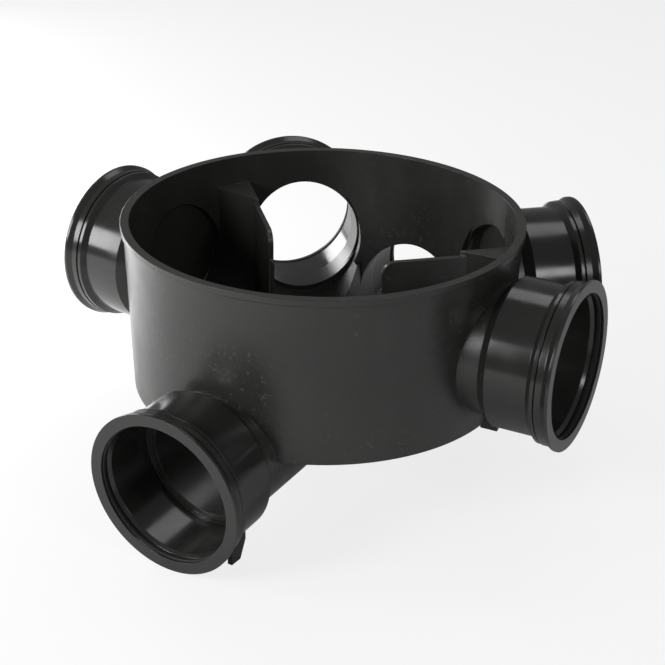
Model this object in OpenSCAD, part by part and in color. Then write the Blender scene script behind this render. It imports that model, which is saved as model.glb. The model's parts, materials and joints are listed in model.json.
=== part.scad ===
// Drain inspection chamber base: an open-topped drum with a channelled floor, one outlet
// and five inlets, each ending in a ring-seal pipe socket.
// Frame: millimetres, +Z up, z = 0 is the ground, the drum axis is the Z axis.
// The outlet leaves along -Y, the main inlet along +Y; side inlets along +X and -X and
// skew inlets half way between them and the main inlet.

/* [Drum] */
// Outside radius of the lip round the open top
rim_r = 160; // [156:1:164]
// How far the lip stands out of the drum wall
lip_out = 2; // [1:0.5:3]
// Height of the lip band
lip_h = 5; // [3:1:8]
// How much smaller the wall's radius is at the skirt than under the lip
lean = 5; // [3:1:7]
// Height of the drum wall, skirt to rim
drum_h = 138; // [134:1:142]
// Wall thickness of the drum
drum_wall = 4.8; // [4:0.2:5.6]

/* [Pipe line] */
// Outside diameter of the pipe every socket takes
pipe_d = 110; // [109:0.5:111]
// Radial room between the pipe and the socket bore
pipe_gap = 0.4; // [0.2:0.1:0.6]
// How far the pipe stop stands in from the socket bore, down to the channel bore
stop_step = 7.4; // [6.4:0.2:9.4]
// Wall thickness of channels, floor and plates
shell = 4.5; // [4:0.25:5]
// Fall of the main channel towards the outlet, degrees
fall = 3.5; // [3:0.25:4]
// Rim height above the main channel axis at the drum centre
main_drop = 135; // [133:1:137]
// Rim height above the side inlet axes
side_drop = 76.5; // [74:0.5:79]

/* [Ports] */
// From the skirt out to the rear edge of the outlet socket and of the main inlet socket
main_neck = 3; // [3:0.5:12]
// From the skirt out to the rear edge of a square inlet socket
side_neck = 8; // [7:0.5:16]
// From the skirt out to the rear edge of a skew inlet socket
skew_neck = 8; // [7:0.5:16]
// Turn of a square side inlet away from the X axis, degrees
side_turn = 5; // [4:0.5:6]
// Turn of a skew inlet away from the X axis, degrees
skew_turn = 45; // [44:0.5:46]
// Offset of a side inlet axis towards the outlet
side_shift = 6; // [4:1:8]
// Offset of a skew inlet axis towards the main inlet
skew_shift = 16; // [15:1:17]

/* [Sockets] */
// Wall thickness of the socket barrel
socket_wall = 4; // [3.5:0.25:4.5]
// Mouth face back to the pipe stop
stop_back = 54; // [52:1:58]
// Length of the socket sleeve over the neck, behind the stop
sleeve_l = 6; // [5:0.5:8]
// Length of the rear shoulder cone
shoulder_l = 7; // [6:0.5:8]
// Height of the collar over the barrel
collar_step = 4.1; // [3.6:0.1:4.6]
// Height of the retaining cap's band over the barrel
cap_step = 4.6; // [4.4:0.1:5.2]
// Height of the cap flange over the barrel, the largest of the mouth
flange_step = 7.1; // [6.6:0.1:8.6]
// Radial room between the socket bore and the mouth in the cap
mouth_gap = 1.6; // [1.4:0.1:2]
// Radial room between the socket bore and the seal ring
seal_gap = 0.8; // [0.6:0.1:1.2]

/* [Floor] */
// Rim height above the low floor at the wall
land_drop = 102; // [100:1:104]
// Drop of the low floor from the wall to the channel
land_fall = 8; // [6:1:10]
// Rim height above the top of the high floor at the wall
ridge_drop = 24.5; // [23:0.5:26]
// Rim height above the top edge of the deflector plates
plate_drop = 28.5; // [28:0.5:30]
// Distance along a skew channel from the drum centre to a plate's free edge
nose_s = 40; // [38:1:44]
// Corner radius at the top of a plate's free edge
nose_r = 11; // [8:1:13]

/* [Feet] */
// Sideways distance from a socket axis to its foot web
foot_y = 35; // [32:1:38]
// Thickness of foot webs and gussets
web = 4; // [3:0.5:5]
// Mouth face back to the outer end of a foot web
foot_front = 35; // [32:1:38]
// Length of the ground edge of a foot web
foot_l = 11; // [8:1:14]
// Mouth face back to the rear end of a foot web where it leaves the barrel
foot_back = 53; // [50:1:54]
// How far a gusset reaches below the skirt
gusset_below = 10; // [6:1:14]

/* [Hidden] */
$fn = 96;
bore_r = pipe_d / 2 + pipe_gap;             // pipe socket bore
barrel_r = bore_r + socket_wall;            // socket barrel, outside
collar_r = barrel_r + collar_step;
cap_r = barrel_r + cap_step;
flange_r = barrel_r + flange_step;
mouth_r = bore_r + mouth_gap;
seal_r = bore_r + seal_gap;
channel_r = bore_r - stop_step;             // bore of the channels behind the pipe stops
neck_r = channel_r + shell;                 // necks and main channel, outside
gutter_step = 1;                            // side channels are wider inside the drum
gutter_r = channel_r + gutter_step;         // side channels inside the drum
gutter_out = gutter_r + shell;              // their walls, outside
slot_in = 0.6;                              // set-in of the open slots over them
slot_half = gutter_r - slot_in;             // half width of those slots
trim = 0.5;                                 // taken off a skew wall where a square channel meets it
fit_gap = 0.1;                              // radial room where one moulding slips on another
wall_r = rim_r - lip_out;                   // drum wall under the lip, outside
skirt_r = wall_r - lean;                    // drum wall at the skirt, outside
socket_back = stop_back + sleeve_l;         // mouth face back to the rear edge of a socket
main_reach = skirt_r + main_neck + socket_back;     // drum centre to the main mouth faces
side_reach = skirt_r + side_neck + socket_back;     // along a square run to its mouth face
skew_reach = skirt_r + skew_neck + socket_back;     // along a skew run to its mouth face
main_z = main_reach * sin(fall) + flange_r * cos(fall);   // main axis at the drum centre
rim_z = main_z + main_drop;
skirt_z = rim_z - drum_h;
side_z = rim_z - side_drop;
taper = (wall_r - skirt_r) / drum_h;        // wall lean, mm per mm of height
mid0 = skirt_r - drum_wall / 2 - taper * skirt_z;         // middle of the wall carried to z = 0
land_z = rim_z - land_drop;                 // low floor at the wall
land_in_z = land_z - land_fall;             // low floor at the channel
ridge_z = rim_z - ridge_drop;
plate_z = rim_z - plate_drop;
over = 1;                                   // overshoot of cutting tools
side_bend_in = 19.2;                        // rim wall to bend, along a square channel
skew_bend_in = 13.2;                        // rim wall to bend, along a skew channel
bend_lap = 6;                               // channel walls carried on past the bend
meet_up = 6;                                // side channel axes over the main axis
square_end = 30;                            // inner end of the square channels' cut, across
tall = 2 * rim_z;
wide = 2 * rim_r;

// Where the side channels bend down and where they meet the main channel
side_bend_s = rim_r - drum_wall - side_bend_in;
skew_bend_s = rim_r - drum_wall - skew_bend_in;
side_meet_z = main_z + meet_up;
skew_meet_s = skew_shift;
skew_meet_z = side_meet_z + skew_meet_s * sin(fall);
side_slope = atan((side_z - side_meet_z) / side_bend_s);
skew_slope = atan((side_z - skew_meet_z) / (skew_bend_s - skew_meet_s));

// Mouth profile, distances back from the mouth face
lip_t = 2;                                  // cap lip in front of the seal
flange_t = 2.2;                             // full-radius edge of the flange
cap_cone_l = 4.2;                           // cap cone behind the flange
cap_l = 11.5;                               // rear face of the cap
groove = 1;                                 // gap between cap and collar
collar_l = 3;                               // straight part of the collar
collar_cone_l = 4;                          // collar cone down to the barrel
seal_l = 5.5;                               // seal length along the axis
spigot_back = lip_t + seal_l + fit_gap;     // front end of the socket tube
spigot_step = 1.4;                          // height of the tube's front end over the barrel
spigot_r = barrel_r + spigot_step;          // socket tube inside the cap
lead_l = 3;                                 // lead-in chamfer length
lead_r = 2;                                 // lead-in chamfer depth
seal_seat = 1.1;                            // height of the seal's seat over the tube
seal_out = spigot_r + seal_seat;            // seal ring, outside
sleeve_t = 1.2;                             // thickness of the sleeve's rear edge
shoulder_r = neck_r + sleeve_t;             // rear edge of the shoulder cone
collar_back = cap_l + groove;
seal_step = 0.6;                            // small steps of the seal section
foot_root = 0.93;                           // where a foot web's slanted edge meets the barrel
gusset_root = 7;                            // gusset end behind the skirt's outer face
gusset_in = skirt_r - gusset_root;          // inner end of a gusset
foot_in = main_reach - foot_back;           // rear end of a foot web, from the drum centre
foot_out = main_reach - foot_front;         // outer end of a foot web, from the drum centre

black_drum = [0.055, 0.056, 0.060];
black_socket = [0.045, 0.046, 0.050];
black_cap = [0.040, 0.041, 0.044];
black_seal = [0.030, 0.030, 0.031];

// ---- placing -------------------------------------------------------------------------
// run: X along a port, Y across it, origin height; port: Z along the port axis
module run(turn, shift) { rotate([0, 0, turn]) translate([0, shift, 0]) children(); }
module port(turn, shift, height, dip) {
    run(turn, shift) translate([0, 0, height]) rotate([0, 90 + dip, 0]) children();
}
module at_outlet() { port(270, 0, main_z, fall) children(); }
module at_main_inlet() { port(90, 0, main_z, -fall) children(); }
module at_right_inlet() { port(side_turn, -side_shift, side_z, 0) children(); }
module at_left_inlet() { port(180 - side_turn, side_shift, side_z, 0) children(); }
module at_right_skew() { port(skew_turn, skew_shift, side_z, 0) children(); }
module at_left_skew() { port(180 - skew_turn, -skew_shift, side_z, 0) children(); }
module both() { children(); mirror([1, 0, 0]) children(); }
// A flat plate of thickness t standing across Y, drawn in X and Z, from y0 up
module upright(y0, t) {
    translate([0, y0 + t, 0]) rotate([90, 0, 0]) linear_extrude(height = t) children();
}

// ---- drum ----------------------------------------------------------------------------
module drum() {
    rotate_extrude() polygon([
        [skirt_r - drum_wall, skirt_z],
        [skirt_r, skirt_z],
        [wall_r - taper * lip_h, rim_z - lip_h],
        [rim_r, rim_z - lip_h],
        [rim_r, rim_z],
        [wall_r - drum_wall, rim_z]]);
}

// Everything inside the middle surface of the drum wall
module inside() { cylinder(h = rim_z + over, r1 = mid0, r2 = mid0 + taper * (rim_z + over)); }

// ---- channels ------------------------------------------------------------------------
// Falling part of a side channel, from the main channel out to an upright end plane
module fall_bar(r, slope, meet_s, meet_z, end_s) {
    intersection() {
        translate([meet_s, 0, meet_z]) rotate([0, 90 - slope, 0])
            cylinder(h = (end_s - meet_s) / cos(slope) + r, r = r);
        translate([-wide, -wide, -wide]) cube([wide + end_s, 2 * wide, wide + tall]);
    }
}
// Level part, from start_s near the bend out through the wall
module level_bar(r, start_s, end_s) {
    translate([start_s, 0, side_z]) rotate([0, 90, 0]) cylinder(h = end_s - start_s, r = r);
}
// Open slot over a side channel, from y0 to y0 + t across the run
module slot(meet_s, meet_z, bend_s, y0, t) {
    upright(y0, t) polygon([
        [meet_s, meet_z], [bend_s, side_z], [wide, side_z], [wide, tall], [meet_s, tall]]);
}
module side_run() { run(side_turn, -side_shift) children(); }
module skew_run() { run(skew_turn, skew_shift) children(); }
module side_fall(r, lap) { side_run() fall_bar(r, side_slope, 0, side_meet_z, side_bend_s + lap); }
module skew_fall(r, lap) {
    skew_run() fall_bar(r, skew_slope, skew_meet_s, skew_meet_z, skew_bend_s + lap);
}
module side_level(r, lap, end_s) { side_run() level_bar(r, side_bend_s + lap, end_s); }
module skew_level(r, lap, end_s) { skew_run() level_bar(r, skew_bend_s + lap, end_s); }
module side_slot(y0, t) { side_run() slot(0, side_meet_z, side_bend_s, y0, t); }
module skew_slot(y0, t) { skew_run() slot(skew_meet_s, skew_meet_z, skew_bend_s, y0, t); }

module main_bar(r, reach) {
    at_outlet() translate([0, 0, -reach]) cylinder(h = 2 * reach, r = r);
}
module main_slot(half) {
    at_outlet() translate([-tall, -half, -wide]) cube([tall, 2 * half, 2 * wide]);
}
// What a skew channel and its walls take up; the square channel stops against it
module skew_keep() {
    skew_fall(gutter_out - trim, bend_lap);
    skew_slot(slot_in + trim - gutter_out, gutter_out + wide);
}

// ---- floor ---------------------------------------------------------------------------
// All below the low floor, lowered by drop
module low_space(drop) {
    rotate_extrude() polygon([[0, -over], [rim_r, -over], [rim_r, land_z - drop],
        [neck_r, land_in_z - drop], [0, land_in_z - drop]]);
}
// Low floor between the channels, with the channel walls that rise only to it
module low_floor() {
    intersection() {
        low_space(0);
        union() {
            main_slot(neck_r);
            both() { side_fall(gutter_out, bend_lap); skew_fall(gutter_out, bend_lap); }
            difference() {
                cylinder(h = tall, r = rim_r);
                low_space(shell);
            }
        }
    }
}
// Sector between the square and the skew channel, set back by gap
module between(gap) {
    intersection() {
        skew_run() translate([0, -gutter_r - gap - wide, -over])
            cube([wide, wide, tall]);
        side_run() translate([0, gutter_r + gap, -over])
            cube([wide, wide, tall]);
    }
}
// High floor in that sector, hollow and open below
module ridge() {
    intersection() {
        between(-over);
        translate([0, 0, land_in_z]) cylinder(h = ridge_z - land_in_z, r = rim_r);
    }
}
module ridge_hollow() {
    intersection() {
        between(shell);
        translate([0, 0, -over]) cylinder(h = ridge_z - shell + over, r = skirt_r - drum_wall);
    }
}
// Upper quarter shells of the channels on the sides where their walls run high
module high_sides() {
    intersection() {
        skew_fall(gutter_out, bend_lap);
        skew_run() translate([0, -wide - shell, 0]) cube([wide, wide, tall]);
    }
    intersection() {
        side_fall(gutter_out, bend_lap);
        side_run() translate([nose_s, shell, 0]) cube([wide, wide, tall]);
    }
}
// Deflector plate: the high wall of a skew channel, from the drum wall to its free edge
module plate() {
    skew_run() difference() {
        upright(-gutter_out, shell + over) polygon([[nose_s, skew_meet_z], [skew_bend_s, land_z],
            [rim_r, land_z], [rim_r, plate_z], [nose_s, plate_z]]);
        difference() {
            translate([nose_s - over, -gutter_out - over, plate_z - nose_r])
                cube([nose_r + over, shell + 3 * over, nose_r + over]);
            translate([nose_s + nose_r, -gutter_out - 2 * over, plate_z - nose_r]) rotate([-90, 0, 0])
                cylinder(h = shell + 5 * over, r = nose_r);
        }
    }
}

module floor_solids() {
    low_floor();
    both() {
        ridge();
        high_sides();
        plate();
    }
}
module slots() {
    main_slot(channel_r);
    both() skew_slot(-slot_half, 2 * slot_half);
}
// Square channel with its slot, ending inside the main channel and against the skew wall
module square_cut() {
    intersection() {
        inside();
        translate([square_end, -wide, 0]) cube([wide, 2 * wide, tall]);
        difference() {
            union() {
                side_fall(gutter_r, 0);
                side_slot(-slot_half, 2 * slot_half);
            }
            skew_keep();
        }
    }
}
// Small upright web under a side neck, reaching below the skirt
module gusset(end_s) {
    upright(-web / 2, web) polygon([
        [gusset_in, skirt_z - gusset_below], [end_s, skirt_z - gusset_below],
        [end_s, side_z], [skirt_r - drum_wall / 2, side_z],
        [skirt_r - drum_wall / 2, skirt_z + over], [gusset_in, skirt_z + over]]);
}

// Floor and necks with the open slots, then the square channels cut on each side
module floor_slotted() {
    difference() {
        union() {
            intersection() { inside(); floor_solids(); }
            main_bar(neck_r, main_reach - stop_back);
            both() {
                side_level(neck_r, bend_lap / 2, side_reach - stop_back);
                skew_level(neck_r, bend_lap / 2, skew_reach - stop_back);
            }
        }
        intersection() { inside(); slots(); }
        both() ridge_hollow();
    }
}
module square_one() { difference() { floor_slotted(); square_cut(); } }
module square_both() { difference() { square_one(); mirror([1, 0, 0]) square_cut(); } }
module solids() {
    drum();
    square_both();
    both() {
        side_run() gusset(side_reach - socket_back - over);
        skew_run() gusset(skew_reach - socket_back - over);
    }
}
// The round cuts follow one another: main, skew channels, then the level bores
module main_cut() { difference() { solids(); main_bar(channel_r, main_reach); } }
module skew_one() { difference() { main_cut(); skew_fall(gutter_r, 0); } }
module skew_both() { difference() { skew_one(); mirror([1, 0, 0]) skew_fall(gutter_r, 0); } }

module base() color(black_drum) {
    difference() {
        skew_both();
        both() {
            side_level(channel_r, -over, side_reach);
            skew_level(channel_r, -over, skew_reach);
        }
    }
}

// ---- sockets, caps and seals ---------------------------------------------------------
// Barrel with the pipe bore, rear shoulder and collar; its rear bore sits on the neck
module socket(reach) {
    rotate_extrude() polygon([
        [neck_r + fit_gap, reach - socket_back],
        [shoulder_r, reach - socket_back],
        [barrel_r, reach - socket_back + shoulder_l],
        [barrel_r, reach - collar_back - collar_l - collar_cone_l],
        [collar_r, reach - collar_back - collar_l],
        [collar_r, reach - collar_back],
        [spigot_r, reach - collar_back],
        [spigot_r, reach - spigot_back],
        [bore_r + lead_r, reach - spigot_back],
        [bore_r, reach - spigot_back - lead_l],
        [bore_r, reach - stop_back],
        [neck_r + fit_gap, reach - stop_back]]);
}
// Snap-on ring that holds the seal: band, cone, flange and inward lip
module cap(reach) color(black_cap) {
    rotate_extrude() polygon([
        [spigot_r + fit_gap, reach - cap_l],
        [cap_r, reach - cap_l],
        [cap_r, reach - flange_t - cap_cone_l],
        [flange_r, reach - flange_t],
        [flange_r, reach],
        [mouth_r, reach],
        [mouth_r, reach - lip_t],
        [seal_out + fit_gap, reach - lip_t],
        [seal_out + fit_gap, reach - spigot_back],
        [spigot_r + fit_gap, reach - spigot_back]]);
}
// Seal ring: a square heel with a lip that leans inwards
module seal(reach) color(black_seal) {
    rotate_extrude() polygon([
        [seal_out, reach - lip_t],
        [seal_out, reach - lip_t - seal_l],
        [bore_r + lead_r + seal_step, reach - lip_t - seal_l],
        [seal_r, reach - lip_t - seal_l / 2],
        [seal_r, reach - lip_t - seal_step],
        [mouth_r + seal_step, reach - lip_t]]);
}
// Pair of webs under a barrel that reach the ground
module feet(turn, dip) {
    axis_z = main_z - foot_in * tan(dip);
    run(turn, 0) for (y = [-foot_y, foot_y]) upright(y - web / 2, web) polygon([
        [foot_in, axis_z], [foot_out, axis_z], [foot_out, 0], [foot_out - foot_l, 0],
        [foot_in, axis_z - barrel_r * foot_root]]);
}

module outlet_socket() color(black_socket) {
    at_outlet() socket(main_reach);
    difference() {
        feet(270, fall);
        main_bar(barrel_r - socket_wall / 2, main_reach);
    }
}
module main_inlet_socket() color(black_socket) {
    at_main_inlet() socket(main_reach);
    difference() {
        feet(90, -fall);
        main_bar(barrel_r - socket_wall / 2, main_reach);
    }
}
module right_inlet_socket() color(black_socket) at_right_inlet() socket(side_reach);
module left_inlet_socket() color(black_socket) at_left_inlet() socket(side_reach);
module right_skew_socket() color(black_socket) at_right_skew() socket(skew_reach);
module left_skew_socket() color(black_socket) at_left_skew() socket(skew_reach);
module outlet_cap() at_outlet() cap(main_reach);
module main_inlet_cap() at_main_inlet() cap(main_reach);
module right_inlet_cap() at_right_inlet() cap(side_reach);
module left_inlet_cap() at_left_inlet() cap(side_reach);
module right_skew_cap() at_right_skew() cap(skew_reach);
module left_skew_cap() at_left_skew() cap(skew_reach);
module outlet_seal() at_outlet() seal(main_reach);
module main_inlet_seal() at_main_inlet() seal(main_reach);
module right_inlet_seal() at_right_inlet() seal(side_reach);
module left_inlet_seal() at_left_inlet() seal(side_reach);
module right_skew_seal() at_right_skew() seal(skew_reach);
module left_skew_seal() at_left_skew() seal(skew_reach);

base();
outlet_socket();
main_inlet_socket();
right_inlet_socket();
left_inlet_socket();
right_skew_socket();
left_skew_socket();
outlet_cap();
main_inlet_cap();
right_inlet_cap();
left_inlet_cap();
right_skew_cap();
left_skew_cap();
outlet_seal();
main_inlet_seal();
right_inlet_seal();
left_inlet_seal();
right_skew_seal();
left_skew_seal();
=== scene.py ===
import json
import math

import bmesh
import bpy
from mathutils import Matrix, Vector

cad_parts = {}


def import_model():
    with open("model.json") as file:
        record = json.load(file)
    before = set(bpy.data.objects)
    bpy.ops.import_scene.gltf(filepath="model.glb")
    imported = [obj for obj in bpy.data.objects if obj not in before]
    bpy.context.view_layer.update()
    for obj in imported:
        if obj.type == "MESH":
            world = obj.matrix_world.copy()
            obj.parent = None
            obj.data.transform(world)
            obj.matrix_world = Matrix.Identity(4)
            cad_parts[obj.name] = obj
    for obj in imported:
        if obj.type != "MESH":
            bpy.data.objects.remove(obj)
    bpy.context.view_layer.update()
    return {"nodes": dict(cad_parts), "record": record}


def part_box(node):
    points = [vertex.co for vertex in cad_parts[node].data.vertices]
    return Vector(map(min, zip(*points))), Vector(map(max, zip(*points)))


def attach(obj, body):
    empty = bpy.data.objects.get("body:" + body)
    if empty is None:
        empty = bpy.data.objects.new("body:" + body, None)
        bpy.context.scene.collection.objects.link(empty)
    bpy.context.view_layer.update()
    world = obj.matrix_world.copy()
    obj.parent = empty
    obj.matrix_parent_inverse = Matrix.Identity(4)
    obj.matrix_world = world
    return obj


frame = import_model()
nodes = frame["nodes"]
PORTS = ("outlet", "main_inlet", "right_inlet", "left_inlet", "right_skew", "left_skew")

# ---- finish of the plastic ------------------------------------------------------------
EDGE_ROUND = 0.0008      # radius that sharp edges are shaded with
RELIEF = 0.0002          # height of the surface relief
DRIFT_SCALE = 9.0        # slow change of colour
FLOW_SCALE = 26.0        # flow streaks, drawn out along the height
SPECK_SCALE = 240.0      # pale specks
PATCH_SCALE = 11.0       # where the specks gather
GLOSS_SCALE = 34.0       # change of roughness
GRAIN_SCALE = 900.0      # fine grain
WAVE_SCALE = 18.0        # shallow waves in the wall
WAVE_SHARE = 3.0         # waves against grain
FLOW_ROUGH = (-0.03, 0.05)
SPECK_ROUGH = 0.18

# ---- small node helpers ---------------------------------------------------------------


class Mat:
    """A node material with short calls."""

    def __init__(self, name):
        self.m = bpy.data.materials.new(name)
        self.m.use_nodes = True
        self.t = self.m.node_tree
        self.p = self.t.nodes["Principled BSDF"]
        self.co = self.t.nodes.new("ShaderNodeTexCoord").outputs["Object"]

    def link(self, a, b):
        self.t.links.new(a, b)

    def mapped(self, scale):
        n = self.t.nodes.new("ShaderNodeMapping")
        n.inputs["Scale"].default_value = scale
        self.link(self.co, n.inputs["Vector"])
        return n.outputs["Vector"]

    def noise(self, scale, detail=4.0, rough=0.55, stretch=(1, 1, 1)):
        n = self.t.nodes.new("ShaderNodeTexNoise")
        n.inputs["Scale"].default_value = scale
        n.inputs["Detail"].default_value = detail
        n.inputs["Roughness"].default_value = rough
        self.link(self.mapped(stretch), n.inputs["Vector"])
        return n.outputs["Fac"]

    def ramp(self, fac, lo, hi, a=0.0, b=1.0):
        n = self.t.nodes.new("ShaderNodeMapRange")
        n.inputs["From Min"].default_value = lo
        n.inputs["From Max"].default_value = hi
        n.inputs["To Min"].default_value = a
        n.inputs["To Max"].default_value = b
        self.link(fac, n.inputs["Value"])
        return n.outputs["Result"]

    def math(self, op, a, b):
        n = self.t.nodes.new("ShaderNodeMath")
        n.operation = op
        for i, v in enumerate((a, b)):
            if isinstance(v, (int, float)):
                n.inputs[i].default_value = v
            else:
                self.link(v, n.inputs[i])
        return n.outputs["Value"]

    def mix(self, fac, a, b):
        n = self.t.nodes.new("ShaderNodeMix")
        n.data_type = "RGBA"
        self.link(fac, n.inputs["Factor"])
        for i, v in (("A", a), ("B", b)):
            sock = [s for s in n.inputs if s.name == i and s.type == "RGBA"][0]
            if isinstance(v, tuple):
                sock.default_value = (*v, 1)
            else:
                self.link(v, sock)
        return [s for s in n.outputs if s.type == "RGBA"][0]

    def bump(self, height, strength, distance):
        """Surface relief on top of rounded edges."""
        r = self.t.nodes.new("ShaderNodeBevel")
        r.samples = 6
        r.inputs["Radius"].default_value = EDGE_ROUND
        n = self.t.nodes.new("ShaderNodeBump")
        n.inputs["Strength"].default_value = strength
        n.inputs["Distance"].default_value = distance
        self.link(r.outputs["Normal"], n.inputs["Normal"])
        self.link(height, n.inputs["Height"])
        self.link(n.outputs["Normal"], self.p.inputs["Normal"])


def plastic(name, dark, light, rough, grain, streak, scuffs):
    """Moulded black plastic: slow colour drift, flow streaks, fine grain and pale specks."""
    m = Mat(name)
    drift = m.noise(DRIFT_SCALE, 5.0)
    flow = m.noise(FLOW_SCALE, 3.0, stretch=(1.0, 1.0, streak))
    tone = m.mix(m.ramp(drift, 0.3, 0.7), dark, light)
    tone = m.mix(m.ramp(flow, 0.45, 0.75, 0.0, 0.6), tone, light)
    mark = m.math("MULTIPLY", m.ramp(m.noise(SPECK_SCALE, 4.0, 0.6), 0.59, 0.65),
                  m.ramp(m.noise(PATCH_SCALE, 3.0), 0.50, 0.62))
    mark = m.math("MULTIPLY", mark, scuffs)
    tone = m.mix(mark, tone, tuple(min(1.0, 2.4 * c + 0.02) for c in light))
    m.link(tone, m.p.inputs["Base Color"])
    gloss = m.ramp(m.noise(GLOSS_SCALE, 4.0), 0.25, 0.75, *rough)
    gloss = m.math("ADD", gloss, m.ramp(flow, 0.4, 0.7, *FLOW_ROUGH))
    gloss = m.math("ADD", gloss, m.math("MULTIPLY", mark, SPECK_ROUGH))
    m.link(gloss, m.p.inputs["Roughness"])
    waves = m.math("MULTIPLY", m.noise(WAVE_SCALE, 3.0), WAVE_SHARE)
    m.bump(m.math("ADD", m.noise(GRAIN_SCALE, 2.0), waves), grain, RELIEF)
    return m.m


drum = plastic("drum_plastic", dark=(0.018, 0.018, 0.017), light=(0.030, 0.030, 0.028),
               rough=(0.27, 0.37), grain=0.40, streak=0.12, scuffs=0.50)
socket = plastic("socket_plastic", dark=(0.015, 0.015, 0.0142), light=(0.023, 0.023, 0.0217),
                 rough=(0.15, 0.21), grain=0.06, streak=0.6, scuffs=0.06)
cap = plastic("cap_plastic", dark=(0.014, 0.014, 0.0132), light=(0.021, 0.021, 0.0198),
              rough=(0.18, 0.26), grain=0.08, streak=0.6, scuffs=0.08)
seal = plastic("seal_rubber", dark=(0.008, 0.008, 0.0085), light=(0.013, 0.013, 0.014),
               rough=(0.55, 0.72), grain=0.35, streak=0.8, scuffs=0.10)


def dress(node, mat):
    """The node's slots take one material."""
    for s in nodes[node].material_slots:
        s.material = mat


dress("base", drum)
for port in PORTS:
    dress(port + "_socket", socket)
    dress(port + "_cap", cap)
    dress(port + "_seal", seal)

# ---- blanks ---------------------------------------------------------------------------
# Two side necks are moulded shut by a flat wall at the drum. It is coved into the neck.
BLANK_IN = 0.0337        # from the middle of a socket's bore in to the blank
BLANK_R = 0.0482         # just into the neck's wall
BLANK_T = 0.0032
COVE = 0.0020
STEPS = 96


def blank(port):
    """The flat wall across one neck, with a cove round its rim on both faces."""
    mount = [m for m in frame["record"]["mounts"] if m["name"] == port + "_bore"][0]
    axis = Vector(mount["axis"]).normalized()
    half = BLANK_T / 2
    arc = [(BLANK_R - COVE * (1 - math.sin(a)), half + COVE * (1 - math.cos(a)))
           for a in (math.radians(15 * k) for k in range(7))]
    outline = [(0.0, half)] + arc + [(r, -z) for r, z in reversed(arc)] + [(0.0, -half)]
    bm = bmesh.new()
    verts = [bm.verts.new((r, 0, z)) for r, z in outline]
    edges = [bm.edges.new(pair) for pair in zip(verts, verts[1:])]
    bmesh.ops.spin(bm, geom=verts + edges, cent=(0, 0, 0), axis=(0, 0, 1), angle=math.tau,
                   steps=STEPS, use_merge=True)
    bmesh.ops.remove_doubles(bm, verts=bm.verts, dist=1e-6)
    bmesh.ops.recalc_face_normals(bm, faces=bm.faces)
    turn = axis.to_track_quat("Z", "Y").to_matrix().to_4x4()
    bm.transform(Matrix.Translation(Vector(mount["pos_m"]) - axis * BLANK_IN) @ turn)
    mesh = bpy.data.meshes.new(port + "_blank")
    bm.to_mesh(mesh)
    bm.free()
    for f in mesh.polygons:
        f.use_smooth = True
    o = bpy.data.objects.new(port + "_blank", mesh)
    bpy.context.collection.objects.link(o)
    mesh.materials.append(drum)
    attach(o, "root")


for port in ("left_inlet", "right_skew"):
    blank(port)

# ---- floor and light ------------------------------------------------------------------
FLOOR_HALF = 3.0         # half the floor's side
FLOOR_GLOW = 0.80        # share of the floor's own white in what the camera sees


def floor():
    """Pale paper that keeps the object's shadow."""
    e = FLOOR_HALF
    mesh = bpy.data.meshes.new("floor")
    mesh.from_pydata([(-e, -e, 0), (e, -e, 0), (e, e, 0), (-e, e, 0)], [],
                     [(0, 1, 2, 3)])
    o = bpy.data.objects.new("floor", mesh)
    bpy.context.collection.objects.link(o)
    m = Mat("floor_paper")
    tone = m.mix(m.ramp(m.noise(3.0, 3.0), 0.3, 0.7), (0.90, 0.90, 0.90), (0.94, 0.94, 0.94))
    m.link(tone, m.p.inputs["Base Color"])
    m.link(m.ramp(m.noise(5.0), 0.3, 0.7, 0.75, 0.85), m.p.inputs["Roughness"])
    em = m.t.nodes.new("ShaderNodeEmission")
    em.inputs["Strength"].default_value = 1.0
    add = m.t.nodes.new("ShaderNodeMixShader")
    lp = m.t.nodes.new("ShaderNodeLightPath")
    fac = m.math("MULTIPLY", lp.outputs["Is Camera Ray"], FLOOR_GLOW)
    m.link(fac, add.inputs["Fac"])
    m.link(m.p.outputs["BSDF"], add.inputs[1])
    m.link(em.outputs["Emission"], add.inputs[2])
    m.link(add.outputs["Shader"], m.t.nodes["Material Output"].inputs["Surface"])
    o.data.materials.append(m.m)


def world(level):
    """Even light of one level, seen by the camera as plain white."""
    w = bpy.data.worlds.new("studio")
    bpy.context.scene.world = w
    w.use_nodes = True
    t = w.node_tree
    bg = t.nodes["Background"]
    bg.inputs["Color"].default_value = (1, 1, 1, 1)
    bg.inputs["Strength"].default_value = level
    white = t.nodes.new("ShaderNodeBackground")
    white.inputs["Strength"].default_value = 1.0
    lp = t.nodes.new("ShaderNodeLightPath")
    mx = t.nodes.new("ShaderNodeMixShader")
    t.links.new(lp.outputs["Is Camera Ray"], mx.inputs["Fac"])
    t.links.new(bg.outputs["Background"], mx.inputs[1])
    t.links.new(white.outputs["Background"], mx.inputs[2])
    t.links.new(mx.outputs["Shader"], t.nodes["World Output"].inputs["Surface"])


def lamp(name, place, aim, size, power):
    """A soft box at place, turned to aim."""
    data = bpy.data.lights.new(name, "AREA")
    data.shape = "RECTANGLE"
    data.size, data.size_y = size
    data.energy = power
    o = bpy.data.objects.new(name, data)
    bpy.context.collection.objects.link(o)
    o.location = place
    o.rotation_mode = "QUATERNION"
    o.rotation_quaternion = (Vector(aim) - Vector(place)).to_track_quat("-Z", "Y")


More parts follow.
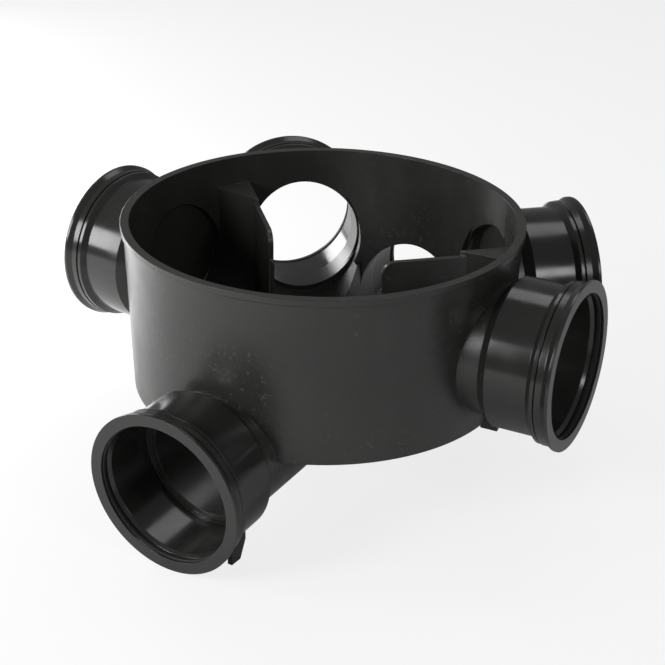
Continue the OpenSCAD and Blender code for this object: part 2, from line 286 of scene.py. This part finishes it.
# ---- camera ---------------------------------------------------------------------------
AZ = math.radians(31.8)
EL = math.radians(25.92)
ROLL = math.radians(0.97)
DIST = 1.3562            # from the camera to the point it looks at
LENS = 89.77
AIM_RIGHT = 0.00875      # that point, right of the drum's axis
AIM_DOWN = 0.10232       # and below its rim
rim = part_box("base")[1].z


def camera():
    """The photograph's camera. Gives its directions right and ahead."""
    ce, se = math.cos(EL), math.sin(EL)
    right = Vector((math.cos(AZ), math.sin(AZ), 0))
    ahead = Vector((-math.sin(AZ) * ce, math.cos(AZ) * ce, -se))
    up = right.cross(ahead)
    x = right * math.cos(ROLL) + up * math.sin(ROLL)
    y = up * math.cos(ROLL) - right * math.sin(ROLL)
    target = right * AIM_RIGHT + Vector((0, 0, rim - AIM_DOWN))
    data = bpy.data.cameras.new("view")
    data.lens = LENS
    data.sensor_width = 36.0
    data.clip_start, data.clip_end = 0.05, 20.0
    o = bpy.data.objects.new("view", data)
    bpy.context.collection.objects.link(o)
    m = Matrix((x, y, -ahead)).transposed().to_4x4()
    m.translation = target - ahead * DIST
    o.matrix_world = m
    bpy.context.scene.camera = o
    return right, ahead


right, ahead = camera()
floor()
world(0.21)
flat = Vector((ahead.x, ahead.y, 0)).normalized()
mid = Vector((0, 0, 0.12))  # what the soft boxes face


def around(az, el, dist):
    """A place round the object: az from the camera's side towards its right, el up."""
    a, e = math.radians(az), math.radians(el)
    return mid + dist * ((right * math.sin(a) - flat * math.cos(a)) * math.cos(e)
                         + Vector((0, 0, math.sin(e))))


lamp("left_box", around(-52, 26, 1.5), mid, (0.42, 0.50), 10.5)
lamp("side_box", around(-84, 16, 1.4), mid, (0.30, 0.50), 5.0)
lamp("right_box", around(38, 30, 1.5), mid, (0.34, 0.30), 3.0)
lamp("back_box", around(-141, 8, 1.5), mid, (0.60, 0.50), 8.0)
spot = around(-128, 10, 0.75)
lamp("floor_box", spot, (spot.x, spot.y, 0), (0.50, 0.40), 5.0)
lamp("top_box", around(150, 62, 1.5), mid, (0.80, 0.60), 3.0)

scene = bpy.context.scene
scene.view_settings.view_transform = "Standard"
